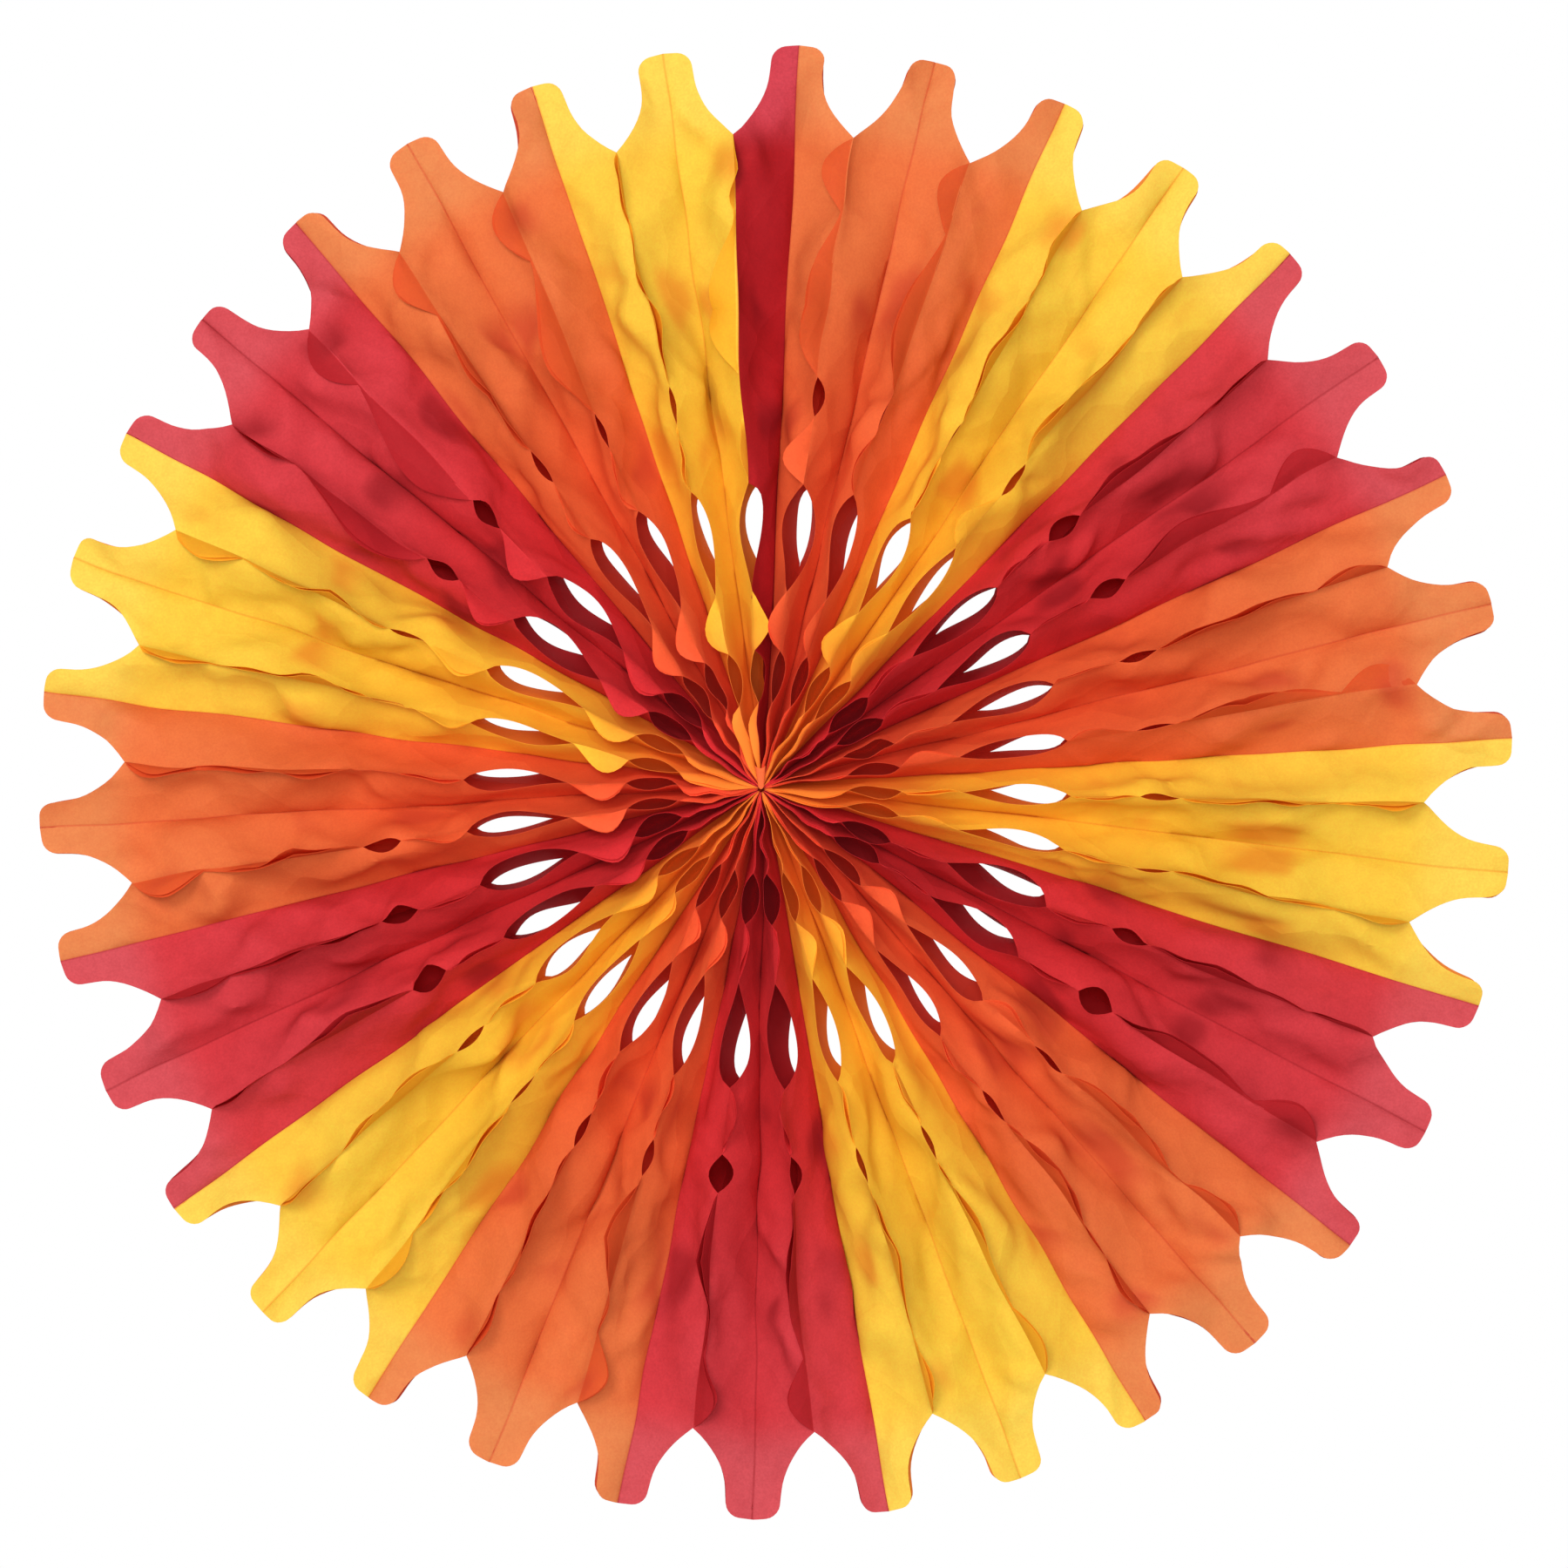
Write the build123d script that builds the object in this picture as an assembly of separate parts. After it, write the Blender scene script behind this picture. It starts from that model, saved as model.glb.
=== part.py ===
"""Paper fan medallion: a round fan of die-cut tissue sheets that opens like a honeycomb.

Every sheet is one long strip of tissue. It is creased along its middle, from the hub out to a
tooth of the rim, and its two edges are die-cut in waves. Neighbouring sheets are glued by turns
along the crease and along two lines beside it, one towards the front and one towards the back.
Opened out, two sheets of one colour stand as a closed cell with a ridge in front and a ridge
behind. The paper past each ridge is a loose double flap, and where the wave runs inside the
ridge the two sheets part and leave a lens-shaped hole.

Frame: millimetres, the disc stands in the XZ plane as it hangs, +Z up, front towards -Y, and
the origin is the centre of the disc. An azimuth is in degrees clockwise from the top, as seen
from the front.
"""
from build123d import *
import os
from math import asin, cos, radians, sin, sqrt

# Disc and pattern
disc_diameter = 635.0          # from tooth tip to tooth tip
tooth_count = 34               # teeth of the rim, one crease down the middle of each
first_tooth_azimuth = 1.8      # the tooth that is half red end sheet, half first orange sheet
band_colours = ("orange", "yellow", "red")
cells_per_band = 2             # each band of colour is two cells, which is four sheets
closing_colour = "red"         # the sheet that meets the last band at the seam

# One sheet, laid flat
sheet_thickness = 0.2          # measured sideways, round the disc
crease_to_glue_line = 29.0     # from the crease to the front or back line of glue

# Teeth of the rim
tooth_side = 14.6              # from the crease to the straight side of a tooth
tooth_corner_radius = 4.5
scallop_depth = 37.5           # from the tooth tips down to the bottom of a scallop
scallop_flank_radius = 29.0    # the curve that widens a tooth down to the scallop
scallop_flank_height = 22.5    # how far above the scallop's bottom that curve begins

# Holes along a ridge, each from an outer radius inwards
outer_hole_radius = 178.5
outer_hole_length = 16.0
outer_hole_depth = {"red": 7.0, "orange": 3.0, "yellow": 2.4}
main_hole_radius = 130.5
main_hole_length = 45.5
main_hole_depth = {"red": 17.5, "orange": 12.0, "yellow": 11.5}
inner_hole_radius = 59.0
inner_hole_length = 22.0
inner_hole_depth = {"red": 12.0, "orange": 10.0, "yellow": 9.0}

# Flaps beyond the ridge
rim_flap_reach = 8.0           # near the scallop
outer_flap_reach = 14.0        # above the outer hole
middle_flap_reach = 12.0       # between the outer and the main hole
inner_flap_reach = 9.0         # between the main and the inner hole
hub_flap_reach = 4.5           # at the sheets' inner ends
flap_lean_at_rim = 62.0        # degrees that a flap leans over at the rim, none at the hub
flattest_facet = 0.96          # sideways share of a facet's width where the rim is flattest

# Hub
hub_crowding = 1.5             # room for one sheet at the hub, in sheet thicknesses
hub_notch_depth = 1.5          # how far the inner ends dip at the crease
thread_knot_width = 2.4        # along the axis, between front and back
thread_knot_sides = 8
thread_clearance = 0.05

# Worked out from the sizes above
half_pitch = radians(180.0 / tooth_count)
tip_radius = disc_diameter / 2
scallop_station = (tip_radius - scallop_depth) / cos(half_pitch)
hub_radius = hub_crowding * sheet_thickness / sin(half_pitch)
crease_breaks = (
    tip_radius,
    (scallop_station + outer_hole_radius) / 2,
    outer_hole_radius - outer_hole_length / 2,
    main_hole_radius - main_hole_length / 2,
    hub_radius + hub_notch_depth,
)
crease_line = [(station, 0.0) for station in crease_breaks]


def tooth_outline():
    """Half a tooth, from its rounded corner down the flank to the scallop's bottom."""
    corner_start = (tip_radius, tooth_side - tooth_corner_radius)
    corner_end = (tip_radius - tooth_corner_radius, tooth_side)
    flank_top = scallop_station + scallop_flank_height
    turn = asin(scallop_flank_height / scallop_flank_radius) / 2
    flank_middle = (
        flank_top - scallop_flank_radius * sin(turn),
        tooth_side + scallop_flank_radius * (1 - cos(turn)),
    )
    scallop_bottom = (scallop_station, crease_to_glue_line)
    return [corner_start, corner_end, (flank_top, tooth_side), flank_middle, scallop_bottom]


def hole_outline(outer_radius, length, depth, corners):
    """The edge of a hole: from the ridge in towards the crease and back to the ridge."""
    points = [(outer_radius, crease_to_glue_line)]
    for corner in range(1, corners + 1):
        station = outer_radius - length * corner / (corners + 1)
        points.append((station, crease_to_glue_line - depth))
    points.append((outer_radius - length, crease_to_glue_line))
    return points


def flap_outline(outer_station, inner_station, reaches):
    """The corners of a flap, spread evenly between the two places where it leaves the ridge."""
    step = (outer_station - inner_station) / (len(reaches) + 1)
    points = []
    for number, reach in enumerate(reaches, start=1):
        points.append((outer_station - number * step, crease_to_glue_line + reach))
    return points


def sheet_outline(colour):
    """Half the edge of a sheet from tip to hub, as pairs of radius and distance from the crease."""
    outer_hole = hole_outline(outer_hole_radius, outer_hole_length, outer_hole_depth[colour], 1)
    main_hole = hole_outline(main_hole_radius, main_hole_length, main_hole_depth[colour], 2)
    inner_hole = hole_outline(inner_hole_radius, inner_hole_length, inner_hole_depth[colour], 1)
    rim_reaches = [rim_flap_reach, outer_flap_reach]
    edge = tooth_outline()
    edge += flap_outline(scallop_station, outer_hole_radius, rim_reaches)
    edge += outer_hole
    edge += flap_outline(outer_hole[-1][0], main_hole_radius, [middle_flap_reach])
    edge += main_hole
    edge += flap_outline(main_hole[-1][0], inner_hole_radius, [inner_flap_reach])
    edge += inner_hole
    edge.append((hub_radius, crease_to_glue_line + hub_flap_reach))
    return edge


def turned_over(corners):
    """Whether a triangle of the placed sheet faces the wrong way, seen along the disc."""
    (_, y0, z0), (_, y1, z1), (_, y2, z2) = [sheet_point(corner, 1, 1, 0) for corner in corners]
    return (y1 - y0) * (z2 - z0) > (y2 - y0) * (z1 - z0)


def facet_triangles(edge):
    """Triangles between the crease and the edge, from the tip to the hub.

    Each one takes the next corner along the edge, unless the crease's next corner lies further
    out or the triangle would be turned over.
    """
    crease_left = list(crease_line)
    edge_left = [corner for corner in edge[:-1] if corner[1] <= crease_to_glue_line] + [edge[-1]]
    triangles = []
    while len(crease_left) > 1 or len(edge_left) > 1:
        along_edge = crease_left[:1] + edge_left[:2]
        along_crease = crease_left[:1] + edge_left[:1] + crease_left[1:2]
        edge_is_next = len(crease_left) == 1
        if len(crease_left) > 1 and len(edge_left) > 1:
            edge_is_next = edge_left[1][0] > crease_left[1][0] and not turned_over(along_edge)
        triangles.append(along_edge if edge_is_next else along_crease)
        left = edge_left if edge_is_next else crease_left
        left.pop(0)
    return triangles


def flap_triangles(edge):
    """Triangles of each flap, all of them from the place where the flap ends on the ridge."""
    triangles = []
    flap = []
    for corner in edge[:-1]:
        if corner[1] > crease_to_glue_line:
            flap.append(corner)
        elif flap:
            for first, second in zip(flap, flap[1:]):
                triangles.append([corner, first, second])
            flap = []
        if corner[1] == crease_to_glue_line:
            flap = [corner]
        elif corner[1] < crease_to_glue_line:
            flap = []
    return triangles


def sheet_point(corner, side, face, skin):
    """Where a corner of the flat sheet stands in its opened cell.

    The cell's ridges stand at azimuth 0. side is -1 for the left sheet and 1 for the right one,
    face is -1 in front and 1 behind. Skin 0 looks out of the cell and skin 1 into it.
    """
    station, across = corner
    on_facet = min(across, crease_to_glue_line)
    beyond_ridge = across - on_facet
    spread = (station * sin(half_pitch) - sheet_thickness) / crease_to_glue_line
    spread = min(spread, flattest_facet)
    lean = radians(flap_lean_at_rim) * station / scallop_station
    sideways = side * (station * sin(half_pitch) - on_facet * spread - skin * sheet_thickness)
    depth = on_facet * sqrt(1 - spread**2) + beyond_ridge * cos(lean)
    return (sideways - beyond_ridge * sin(lean), face * depth, station * cos(half_pitch))


def make_sheet(side, colour):
    """One creased sheet as a closed solid: two skins and the cut edge between them."""
    edge = sheet_outline(colour)
    triangles = facet_triangles(edge) + flap_triangles(edge)
    faces = []
    for face in (-1, 1):
        for skin in (0, 1):
            for corners in triangles:
                points = [sheet_point(corner, side, face, skin) for corner in corners]
                faces.append(Face(Wire.make_polygon(points)))
        rim = [crease_line[0]] + edge + [crease_line[-1]]
        for first, second in zip(rim, rim[1:]):
            points = [
                sheet_point(first, side, face, 0),
                sheet_point(second, side, face, 0),
                sheet_point(second, side, face, 1),
                sheet_point(first, side, face, 1),
            ]
            faces.append(Face(Wire.make_polygon(points)))
    return Solid(Shell(faces))


def make_binding_thread():
    """The thread that binds the sheets' inner ends, wound tight into the notch of the hub."""
    radius = (hub_radius + hub_notch_depth) * cos(half_pitch) - thread_clearance
    outline = RegularPolygon(radius, thread_knot_sides)
    knot = extrude(outline, thread_knot_width / 2, both=True)
    return knot.rotate(Axis.X, 90)


def band_colour(cell):
    """The colour of a cell, counted from 0 clockwise from the seam."""
    return band_colours[cell // cells_per_band % len(band_colours)]


def ridge_azimuth(cell):
    """The azimuth of a cell's ridges. The seam's cell is the last one."""
    return first_tooth_azimuth + (cell + 0.5) * 360.0 / tooth_count


def write_node(name, solids):
    """One file for each node."""
    node = solids[0] if len(solids) == 1 else Compound(children=solids)
    node.label = name
    export_step(node, f"parts/{name}.step")


def main():
    os.makedirs("parts", exist_ok=True)
    sheets = {}
    for colour in band_colours:
        for side in (-1, 1):
            sheets[colour, side] = make_sheet(side, colour)

    seam = tooth_count - 1
    for cell in range(seam):
        colour = band_colour(cell)
        pair = [sheets[colour, side].rotate(Axis.Y, ridge_azimuth(cell)) for side in (-1, 1)]
        write_node(f"{colour}_cell_{cell + 1:02d}", pair)

    last_colour = band_colour(seam)
    end_sheet = sheets[last_colour, -1].rotate(Axis.Y, ridge_azimuth(seam))
    write_node(f"{last_colour}_end_sheet", [end_sheet])
    start_sheet = sheets[closing_colour, 1].rotate(Axis.Y, ridge_azimuth(seam))
    write_node(f"{closing_colour}_end_sheet", [start_sheet])
    write_node("binding_thread", [make_binding_thread()])


main()
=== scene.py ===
import bpy
import numpy as np
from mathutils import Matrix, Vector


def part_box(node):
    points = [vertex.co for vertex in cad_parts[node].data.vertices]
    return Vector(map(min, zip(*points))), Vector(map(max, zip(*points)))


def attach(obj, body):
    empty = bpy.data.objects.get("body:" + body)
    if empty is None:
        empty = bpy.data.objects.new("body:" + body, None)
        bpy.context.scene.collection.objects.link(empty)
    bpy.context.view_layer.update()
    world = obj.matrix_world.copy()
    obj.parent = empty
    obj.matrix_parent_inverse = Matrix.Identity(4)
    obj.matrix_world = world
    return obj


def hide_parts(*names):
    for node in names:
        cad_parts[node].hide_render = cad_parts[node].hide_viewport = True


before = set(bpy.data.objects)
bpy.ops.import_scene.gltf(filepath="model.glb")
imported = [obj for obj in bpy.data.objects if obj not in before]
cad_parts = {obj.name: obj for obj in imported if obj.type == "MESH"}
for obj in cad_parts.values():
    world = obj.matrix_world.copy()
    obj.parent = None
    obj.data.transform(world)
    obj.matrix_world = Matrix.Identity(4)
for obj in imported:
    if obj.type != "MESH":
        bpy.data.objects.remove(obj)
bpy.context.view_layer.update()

# The disc, as in the construction model
TOOTH_COUNT = 34
FIRST_TOOTH_AZIMUTH = np.radians(1.8)
BAND_COLOURS = ("orange", "yellow", "red")
CELLS_PER_BAND = 2
CLOSING_COLOUR = "red"
HALF_PITCH = np.pi / TOOTH_COUNT
TIP_RADIUS = 0.3175
FLATTEST_FACET = 0.96
GAP_BESIDE_GLUE = 0.00005     # from a glue line to the middle of the sheet's own paper

# One sheet, laid flat
PAPER_THICKNESS = 0.00012
CREASE_TO_GLUE_LINE = 0.029
TOOTH_TIP_SIDE = 0.0115       # from the crease to the side of a tooth, at its tip
TOOTH_FLARE = 0.05            # how much wider the tooth gets for each metre down from the tip
TOOTH_CORNER_RADIUS = 0.0054
TIP_DOME = 0.0006             # how far a tooth's tip falls away at its sides
FLANK_TOP = 0.3055            # station where the tooth begins to widen into its flanks
SCALLOP_STATION = 0.2795
NECK_STATION = 0.247          # between the rim flap and the outer flap
NECK_REACH = 0.0015
RIM_FLAP_REACH = 0.0105
OUTER_FLAP_REACH = 0.0133
MIDDLE_FLAP_REACH = 0.0106
INNER_FLAP_REACH = 0.0084
HUB_FLAP_REACH = 0.0024

# How many times wider the hub flaps of some cells stand, by the cell's number from the seam
WIDER_HUB_FLAP = {8: 2.0, 9: 1.5, 24: 1.8, 25: 2.2, 26: 2.4, 27: 1.6, 32: 2.4, 33: 1.6}

# Where a flap is widest, as a share of the way inwards along it
RIM_FLAP_PEAK = 0.45
NECK_PEAK = 0.5
OUTER_FLAP_PEAK = 0.62
MIDDLE_FLAP_PEAK = 0.62
INNER_FLAP_PEAK = 0.60
INNER_FLAP_ROUNDING = 0.8     # power of its curve: the lower, the rounder
HUB_FLAP_PEAK = 0.36

# Inner ends of the sheets, which dip at the crease to make room for the thread
HUB_END = 0.0014
CREASE_HUB_END = 0.0049
HUB_DIP_WIDTH = 0.004

# Holes along a ridge: from an outer station inwards, and how deep they cut towards the crease.
# At the back, the flaps lie pressed over the small holes and over part of the main one.
OUTER_HOLE = (0.1760, 0.1590)
MAIN_HOLE = (0.1300, 0.0840)
BACK_MAIN_HOLE = (0.1300, 0.0965)
INNER_HOLE = (0.059, 0.0365)
OUTER_HOLE_DEPTH = {"red": 0.0062, "orange": 0.0024, "yellow": 0.0017}
MAIN_HOLE_DEPTH = {"red": 0.0172, "orange": 0.0122, "yellow": 0.0115}
BACK_MAIN_HOLE_DEPTH = {"red": 0.0086, "orange": 0.0080, "yellow": 0.0084}
INNER_HOLE_DEPTH = {"red": 0.0125, "orange": 0.0100, "yellow": 0.0095}
OUTER_HOLE_PEAK = 0.5                 # where a hole is deepest, as a share of the way inwards
MAIN_HOLE_PEAK = 0.42
INNER_HOLE_PEAK = 0.48
WIDER_MAIN_HOLE = {0: 1.7, 33: 0.8}   # by cell: pulled open beside the seam, or pressed shut
WIDER_OUTER_HOLE = {0: 1.7, 1: 0.3, 33: 0.0}
HOLE_BOW = 0.10                       # how far a hole's edges bow apart, as a share of its depth
INNER_HOLE_BOW = {"red": 0.0024, "orange": 0.0011, "yellow": 0.0012}   # the same, at the ridge
BACK_HOLE_SHIFT = {"red": 0.0033, "orange": 0.0016, "yellow": 0.0014}  # against the front one
BACK_SHIFT_ZONE = (0.155, 0.065)      # stations between which the back ridge is shifted

# Which way the back hole of each cell is shifted, 1 clockwise and -1 the other way
HOLE_SHIFTS = (
    1.0, 0.6, 0.8, 0.5, -0.9, 0.0, 1.0, 0.6, -0.1, -0.3, -1.0, -1.0, -0.9, -1.0, -1.0, -1.0, -1.0,
    -1.0, -1.0, -0.9, -0.2, -0.5, -1.0, -0.4, -0.3, 1.0, 0.8, 0.8, 0.7, 0.7, 0.9, 0.9, 0.8, 0.8,
)

# How the opened fan stands off its true form
HUB_SHIFT = (-0.0050, -0.0012)        # sideways and up, at the hub, none at the rim
FRONT_SHIFT = (-0.045, -0.055)        # more of it for each metre towards the front
RIDGE_SKEW = 0.0008                   # the front ridges lie to the left of the back ones
CREASE_JOG = 0.0006                   # sideways wander of the creases
RIDGE_JOG = 0.0012                    # the same of the ridges, which ends towards the rim
RIDGE_JOG_END = 0.31
RIDGE_JOG_FALL = 0.05
JOG_RISE = 0.06                       # station up to which both grow from nothing at the hub
HUB_JOG = 0.0011                      # a finer wander of the ridges near the hub
HUB_JOG_RISE = 0.02
HUB_JOG_END = 0.08
HUB_JOG_FALL = 0.03
FLAP_OPENING = 0.05                   # how far the two layers of a flap part, for its reach
FLAP_TURN = (0.85, 1.15)              # shares of its lean that a flap has at its ridge and edge
FLUTTER = 6                           # degrees of slow change along the flaps
CURL_HEIGHT = 0.0010                  # how far a flap's edge curls to and fro
BOW_HEIGHT = 0.0040                   # of the slow bows of a facet
FOLD_HEIGHT = 0.0032                  # of its small crisp folds
FOLDS_PER_FACET = 11
FOLD_ZONE_START = 0.13                # station outside which the folds have their middles
FOLD_ANGLE = 1.3                      # most that a fold turns from the radius, in radians
FOLD_LENGTHS = (0.010, 0.032)
FOLD_WIDTHS = (0.006, 0.013)
FULL_LIFT_STATION = 0.17              # station from which bows and folds have their full height
SINKING_ROOM = 0.7                    # share of its depth that a facet can sink by

# Longest and shortest waves of each kind of wander
FACET_WAVES = (0.13, 0.040)
JOG_WAVES = (0.11, 0.035)
HUB_WAVES = (0.024, 0.012)
FLUTTER_WAVES = (0.09, 0.03)
CURL_WAVES = (0.05, 0.018)
WAVES_IN_RIPPLE = 9

# Each kind of wander starts its random numbers here, so that none repeats another
CREASE_SEED = 100
RIDGE_SEED = 200
HUB_SEED = 300
FLUTTER_SEED = 500
FACET_SEED = 1000
FOLD_SEED_STEP = 400
CURL_SEED_STEP = 800

# The tab of paper rolled over the middle of the hub: its place and size
TAB_PLACE = (-0.0063, -0.0322, 0.0022)
TAB_LENGTH = 0.0088
TAB_RADII = (0.0012, 0.0022)          # at its lower and upper end
TAB_FLATNESS = 0.6                    # its depth towards the front, as a share of its radius
TAB_SLANT = 0.0003                    # how far its upper end lies to the left
TAB_END_BOW = 0.0006                  # how far its ends bow up at the middle
TAB_FLAT_PLACE = (0.01, 0.2, 0.0)     # the plain spot of a flat sheet whose colour it has

# Grid of one sheet
FACET_COLUMNS = 11
FLAP_COLUMNS = 3
SHARP_ANGLE = np.radians(38)  # edges that turn more than this are shaded as folds
# The skin that looks into the cell is marked so that its paper gets painted shade there.
CELL_SHADE_MARK = -0.001          # third part of flat_place on the skin that looks into the cell

# Lean of the flaps of each cell, in degrees to the left of the ridge, clockwise from the seam:
# near the rim, above the outer hole, between the outer and the main hole, inside the main hole
# and at the hub, which is at these stations
LEAN_STATIONS = (0.264, 0.205, 0.144, 0.068, 0.026)
FLAP_LEANS = (
    (86, 40, 78, 30, 12), (56, 34, 14, 20, 12), (14, 8, -4, 52, 26), (14, 10, 40, 24, 20),
    (12, 18, 10, 10, 10), (62, 28, 5, 8, 8), (19, 6, 5, 10, 8), (84, 12, 15, 38, -8),
    (-10, -5, 0, 12, -30), (-12, 2, 2, 16, -26), (5, 17, -9, 5, -20), (54, 14, -3, 10, -20),
    (26, 20, 22, 52, -18), (-8, 23, -15, 52, -14), (23, 13, -6, 36, -8), (10, 7, 2, 34, -5),
    (-55, -10, -8, 18, 0), (42, -20, 18, 20, 5), (48, -32, 3, 34, 5), (13, 2, -9, 36, 8),
    (25, 5, 4, 34, 15), (3, -11, 0, 30, 18), (0, -18, 2, 30, 10), (19, 7, 8, 46, 12),
    (43, -9, 5, 72, 18), (20, 4, 6, 44, 40), (15, -6, 10, 90, 42), (33, -12, 38, 40, 44),
    (4, 37, 44, 62, 30), (88, 84, 88, 42, 34), (58, 4, 17, 48, 30), (53, 40, 16, 62, 34),
    (7, 0, 0, 96, 56), (-6, 104, 10, -50, 52),
)


def linear(red, green, blue):
    """A screen colour, given as 0 to 255 for each channel, as the linear colour that nodes take."""
    share = np.array((red, green, blue)) / 255.0
    low = share / 12.92
    high = ((share + 0.055) / 1.055) ** 2.4
    return (*np.where(share <= 0.04045, low, high), 1.0)


def cell_colour(cell):
    """The colour of a cell, counted from 0 clockwise from the seam."""
    return BAND_COLOURS[cell // CELLS_PER_BAND % len(BAND_COLOURS)]


def ridge_azimuth(cell):
    return FIRST_TOOTH_AZIMUTH + (cell + 0.5) * 2 * HALF_PITCH


def ripple(seed, along, across, longest, shortest):
    """Smooth noise near -1 to 1: a sum of plane waves of random direction, length and phase."""
    rng = np.random.default_rng(seed)
    total = np.zeros(np.broadcast(along, across).shape)
    for _ in range(WAVES_IN_RIPPLE):
        length = np.exp(rng.uniform(np.log(shortest), np.log(longest)))
        angle = rng.uniform(0, np.pi)
        phase = rng.uniform(0, 2 * np.pi)
        turns = (along * np.cos(angle) + across * np.sin(angle)) / length
        total = total + np.cos(2 * np.pi * turns + phase)
    return total * np.sqrt(2.0 / WAVES_IN_RIPPLE) / 2


def sharp_folds(seed, station, across):
    """Small crisp folds scattered over a facet, about -1 to 1. Each is a straight ridge or valley
    of triangular section, whose height falls as a parabola towards the two ends of its line."""
    rng = np.random.default_rng(seed)
    total = np.zeros(np.broadcast(station, across).shape)
    for _ in range(FOLDS_PER_FACET):
        middle = rng.uniform((FOLD_ZONE_START, 0.0), (TIP_RADIUS, CREASE_TO_GLUE_LINE))
        angle = rng.uniform(-FOLD_ANGLE, FOLD_ANGLE)
        length = rng.uniform(*FOLD_LENGTHS)
        width = rng.uniform(*FOLD_WIDTHS)
        height = rng.uniform(0.5, 1.0) * rng.choice((-1, 1))
        along = (station - middle[0]) * np.cos(angle) + (across - middle[1]) * np.sin(angle)
        aside = (across - middle[1]) * np.cos(angle) - (station - middle[0]) * np.sin(angle)
        section = np.clip(1 - np.abs(aside) / width, 0, 1)
        total = total + height * section * np.clip(1 - (along / length) ** 2, 0, 1)
    return total


def bulge(station, outer, inner, peak):
    """0 at both stations and 1 where the share of the way inwards is peak: a skewed half sine."""
    share = np.clip((outer - station) / (outer - inner), 0, 1)
    return np.sin(np.pi * share ** (np.log(0.5) / np.log(peak)))


def row_stations():
    """Stations of the grid's rows from tip to hub, closer together round the tooth's corner and
    at the holes, with a row at each end of every flap and hole."""
    corner = TIP_RADIUS - TOOTH_CORNER_RADIUS * (1 - np.cos(np.linspace(0, np.pi / 2, 6)))
    breaks = (
        (FLANK_TOP, 2), (SCALLOP_STATION, 9), (NECK_STATION, 12), (OUTER_HOLE[0], 22),
        (OUTER_HOLE[1], 8), (MAIN_HOLE[0], 12), (MAIN_HOLE[1], 18), (INNER_HOLE[0], 10),
        (INNER_HOLE[1], 9), (HUB_END, 12),
    )
    rows = [corner]
    for station, count in breaks:
        rows.append(np.linspace(rows[-1][-1], station, count + 1)[1:])
    return np.concatenate(rows)


def hole_depth(station, cell, colour, face):
    """How deep the holes cut inside the glue line, in front (face -1) or behind (face 1)."""
    if face > 0:
        return BACK_MAIN_HOLE_DEPTH[colour] * bulge(station, *BACK_MAIN_HOLE, MAIN_HOLE_PEAK)
    outer_depth = WIDER_OUTER_HOLE.get(cell, 1.0) * OUTER_HOLE_DEPTH[colour]
    main_depth = WIDER_MAIN_HOLE.get(cell, 1.0) * MAIN_HOLE_DEPTH[colour]
    depth = outer_depth * bulge(station, *OUTER_HOLE, OUTER_HOLE_PEAK)
    depth += main_depth * bulge(station, *MAIN_HOLE, MAIN_HOLE_PEAK)
    return depth + INNER_HOLE_DEPTH[colour] * bulge(station, *INNER_HOLE, INNER_HOLE_PEAK)


def edge_distance(station, holes, hub_flap_reach):
    """How far the cut edge lies from the crease: a rounded tooth, a flank that widens as a
    parabola down to the scallop, then flaps past the glue line and holes inside it."""
    below_tip = np.clip(TIP_RADIUS - station, 0, TOOTH_CORNER_RADIUS)
    into_corner = TOOTH_CORNER_RADIUS - below_tip
    corner = TOOTH_CORNER_RADIUS - np.sqrt(TOOTH_CORNER_RADIUS**2 - into_corner**2)
    down_flank = np.clip((FLANK_TOP - station) / (FLANK_TOP - SCALLOP_STATION), 0, 1)
    side = TOOTH_TIP_SIDE + TOOTH_FLARE * (TIP_RADIUS - station)
    side_at_scallop = TOOTH_TIP_SIDE + TOOTH_FLARE * (TIP_RADIUS - SCALLOP_STATION)
    tooth = side - corner + (CREASE_TO_GLUE_LINE - side_at_scallop) * down_flank**2

    rim_flap = bulge(station, SCALLOP_STATION, NECK_STATION, RIM_FLAP_PEAK)
    wave = CREASE_TO_GLUE_LINE + RIM_FLAP_REACH * rim_flap
    wave += OUTER_FLAP_REACH * bulge(station, NECK_STATION, OUTER_HOLE[0], OUTER_FLAP_PEAK)
    wave += NECK_REACH * bulge(station, SCALLOP_STATION, OUTER_HOLE[0], NECK_PEAK)
    wave += MIDDLE_FLAP_REACH * bulge(station, OUTER_HOLE[1], MAIN_HOLE[0], MIDDLE_FLAP_PEAK)
    inner_flap = bulge(station, MAIN_HOLE[1], INNER_HOLE[0], INNER_FLAP_PEAK)
    wave += INNER_FLAP_REACH * inner_flap**INNER_FLAP_ROUNDING
    wave += hub_flap_reach * bulge(station, INNER_HOLE[1], HUB_END, HUB_FLAP_PEAK)
    return np.where(station > SCALLOP_STATION, tooth, wave - holes)


def flap_lean(station, cell):
    """The angle at which the flaps leave the ridge, in radians to the left of straight out.
    It runs smoothly from one flap's lean to the next one's, with a slow flutter on top."""
    lean = np.interp(station, LEAN_STATIONS[::-1], FLAP_LEANS[cell][::-1])
    return np.radians(lean + FLUTTER * ripple(FLUTTER_SEED + cell, station, 0.0, *FLUTTER_WAVES))


def jog(seed, station, height):
    """A slow sideways wander along a crease or ridge, none at the hub."""
    return height * ripple(seed, station, 0.0, *JOG_WAVES) * np.clip(station / JOG_RISE, 0, 1)


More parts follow.
